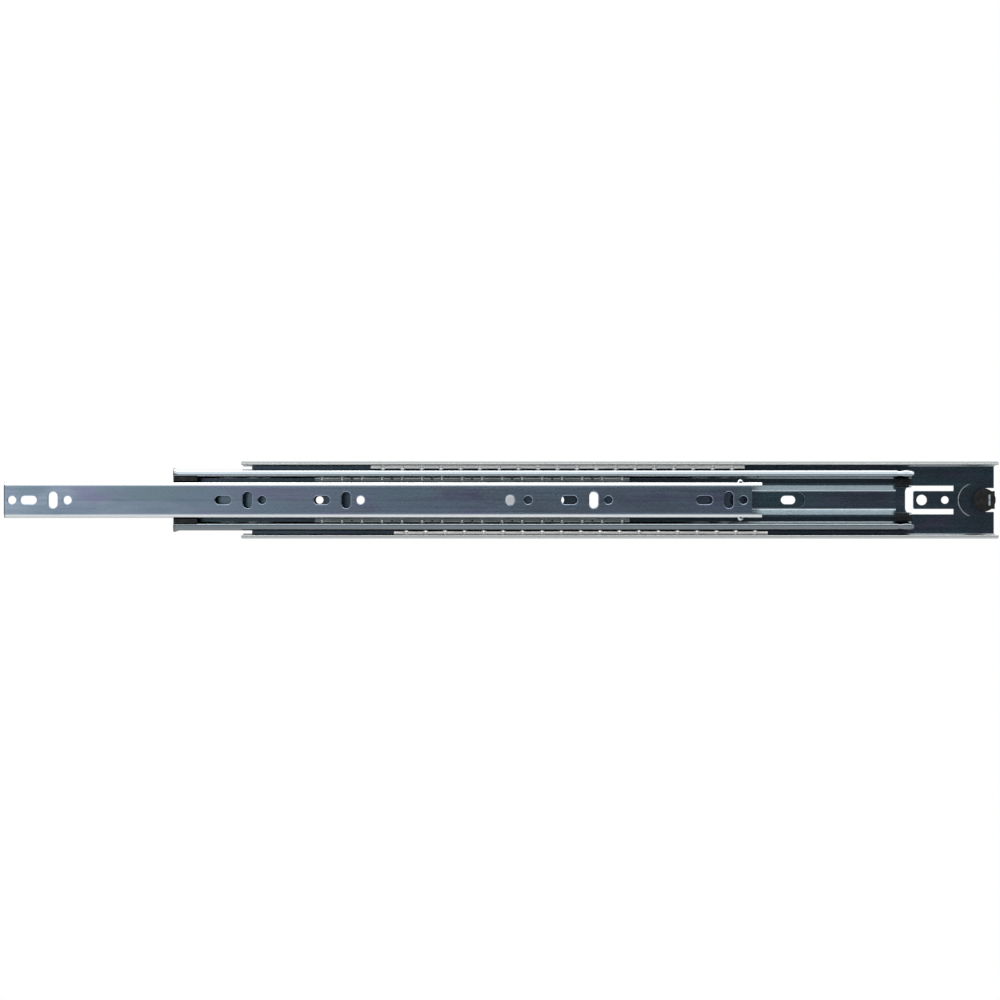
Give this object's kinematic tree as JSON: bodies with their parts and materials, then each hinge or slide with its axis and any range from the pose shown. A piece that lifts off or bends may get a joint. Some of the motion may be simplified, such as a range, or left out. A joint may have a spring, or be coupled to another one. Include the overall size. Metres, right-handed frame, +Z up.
{
  "type": "cabinet drawer slide",
  "caption": "Full-extension ball-bearing telescopic drawer slide in zinc-plated steel: nested cabinet, intermediate and drawer members, shown partly extended.",
  "frame": {"origin": "centre of the cabinet member's back face, where it lies against the cabinet side", "axes": "X along the slide, with the drawer pulled out towards -X; +Y out of the cabinet member's back face, into the cabinet side; +Z up"},
  "size_m": [0.5907, 0.0127, 0.046],
  "materials": {
    "zinc_cabinet": "bright zinc plated sheet steel, cool grey",
    "zinc_intermediate": "bright zinc plated sheet steel, cool grey",
    "zinc_drawer": "bright zinc plated sheet steel with a blue passivated tint",
    "retainer_steel": "thin plated steel strip, satin",
    "ball_steel": "polished hardened steel",
    "rivet_steel": "plain bright steel",
    "black_plastic": "moulded black plastic, slightly glossy",
    "black_rubber": "moulded black rubber"
  },
  "bodies": {
    "cabinet": {"cabinet_member": "zinc_cabinet", "bumper_tab": "zinc_cabinet", "rear_bumper": "black_rubber"},
    "intermediate": {"intermediate_member": "zinc_intermediate", "front_stop": "black_plastic", "rear_stop_top": "black_plastic", "rear_stop_bottom": "black_plastic"},
    "drawer": {"drawer_member": "zinc_drawer", "lever_rivet": "rivet_steel"},
    "lever": {"disconnect_lever": "black_plastic"},
    "top_outer_cage": {"outer_retainer_top": "retainer_steel", "outer_balls_top": "ball_steel"},
    "bottom_outer_cage": {"outer_retainer_bottom": "retainer_steel", "outer_balls_bottom": "ball_steel"},
    "inner_cage": {"inner_retainer": "retainer_steel", "inner_ball_top_01": "ball_steel", "inner_ball_top_02": "ball_steel", "inner_ball_top_03": "ball_steel", "inner_ball_top_04": "ball_steel", "inner_ball_top_05": "ball_steel", "inner_ball_top_06": "ball_steel", "inner_ball_top_07": "ball_steel", "inner_ball_top_08": "ball_steel", "inner_ball_top_09": "ball_steel", "inner_ball_top_10": "ball_steel", "inner_ball_top_11": "ball_steel", "inner_ball_top_12": "ball_steel", "inner_ball_top_13": "ball_steel", "inner_ball_top_14": "ball_steel", "inner_ball_top_15": "ball_steel", "inner_ball_top_16": "ball_steel", "inner_ball_bottom_01": "ball_steel", "inner_ball_bottom_02": "ball_steel", "inner_ball_bottom_03": "ball_steel", "inner_ball_bottom_04": "ball_steel", "inner_ball_bottom_05": "ball_steel", "inner_ball_bottom_06": "ball_steel", "inner_ball_bottom_07": "ball_steel", "inner_ball_bottom_08": "ball_steel", "inner_ball_bottom_09": "ball_steel", "inner_ball_bottom_10": "ball_steel", "inner_ball_bottom_11": "ball_steel", "inner_ball_bottom_12": "ball_steel", "inner_ball_bottom_13": "ball_steel", "inner_ball_bottom_14": "ball_steel", "inner_ball_bottom_15": "ball_steel", "inner_ball_bottom_16": "ball_steel"}
  },
  "joints": [
    {"name": "intermediate_slide", "type": "slide", "parent": "cabinet", "child": "intermediate", "axis": [-1, 0, 0], "range_m": [-0.0429, 0.152]},
    {"name": "drawer_slide", "type": "slide", "parent": "intermediate", "child": "drawer", "axis": [-1, 0, 0], "range_m": [-0.0888, 0.126]},
    {"name": "top_outer_cage_slide", "type": "slide", "parent": "cabinet", "child": "top_outer_cage", "axis": [-1, 0, 0], "range_m": [-0.02145, 0.076]},
    {"name": "bottom_outer_cage_slide", "type": "slide", "parent": "cabinet", "child": "bottom_outer_cage", "axis": [-1, 0, 0], "range_m": [-0.02145, 0.076]},
    {"name": "inner_cage_slide", "type": "slide", "parent": "intermediate", "child": "inner_cage", "axis": [-1, 0, 0], "range_m": [-0.0444, 0.063]},
    {"name": "lever_pivot", "type": "hinge", "parent": "drawer", "child": "lever", "pos_m": [-0.0653, -0.01, 0], "axis": [0, 1, 0], "range_deg": [-3.5, 3.5], "stiffness_Nm_per_rad": 0.05}
  ],
  "couplings": [
    {"joint": "top_outer_cage_slide", "follows": "intermediate_slide", "ratio": 0.5},
    {"joint": "bottom_outer_cage_slide", "follows": "intermediate_slide", "ratio": 0.5},
    {"joint": "inner_cage_slide", "follows": "drawer_slide", "ratio": 0.5}
  ]
}
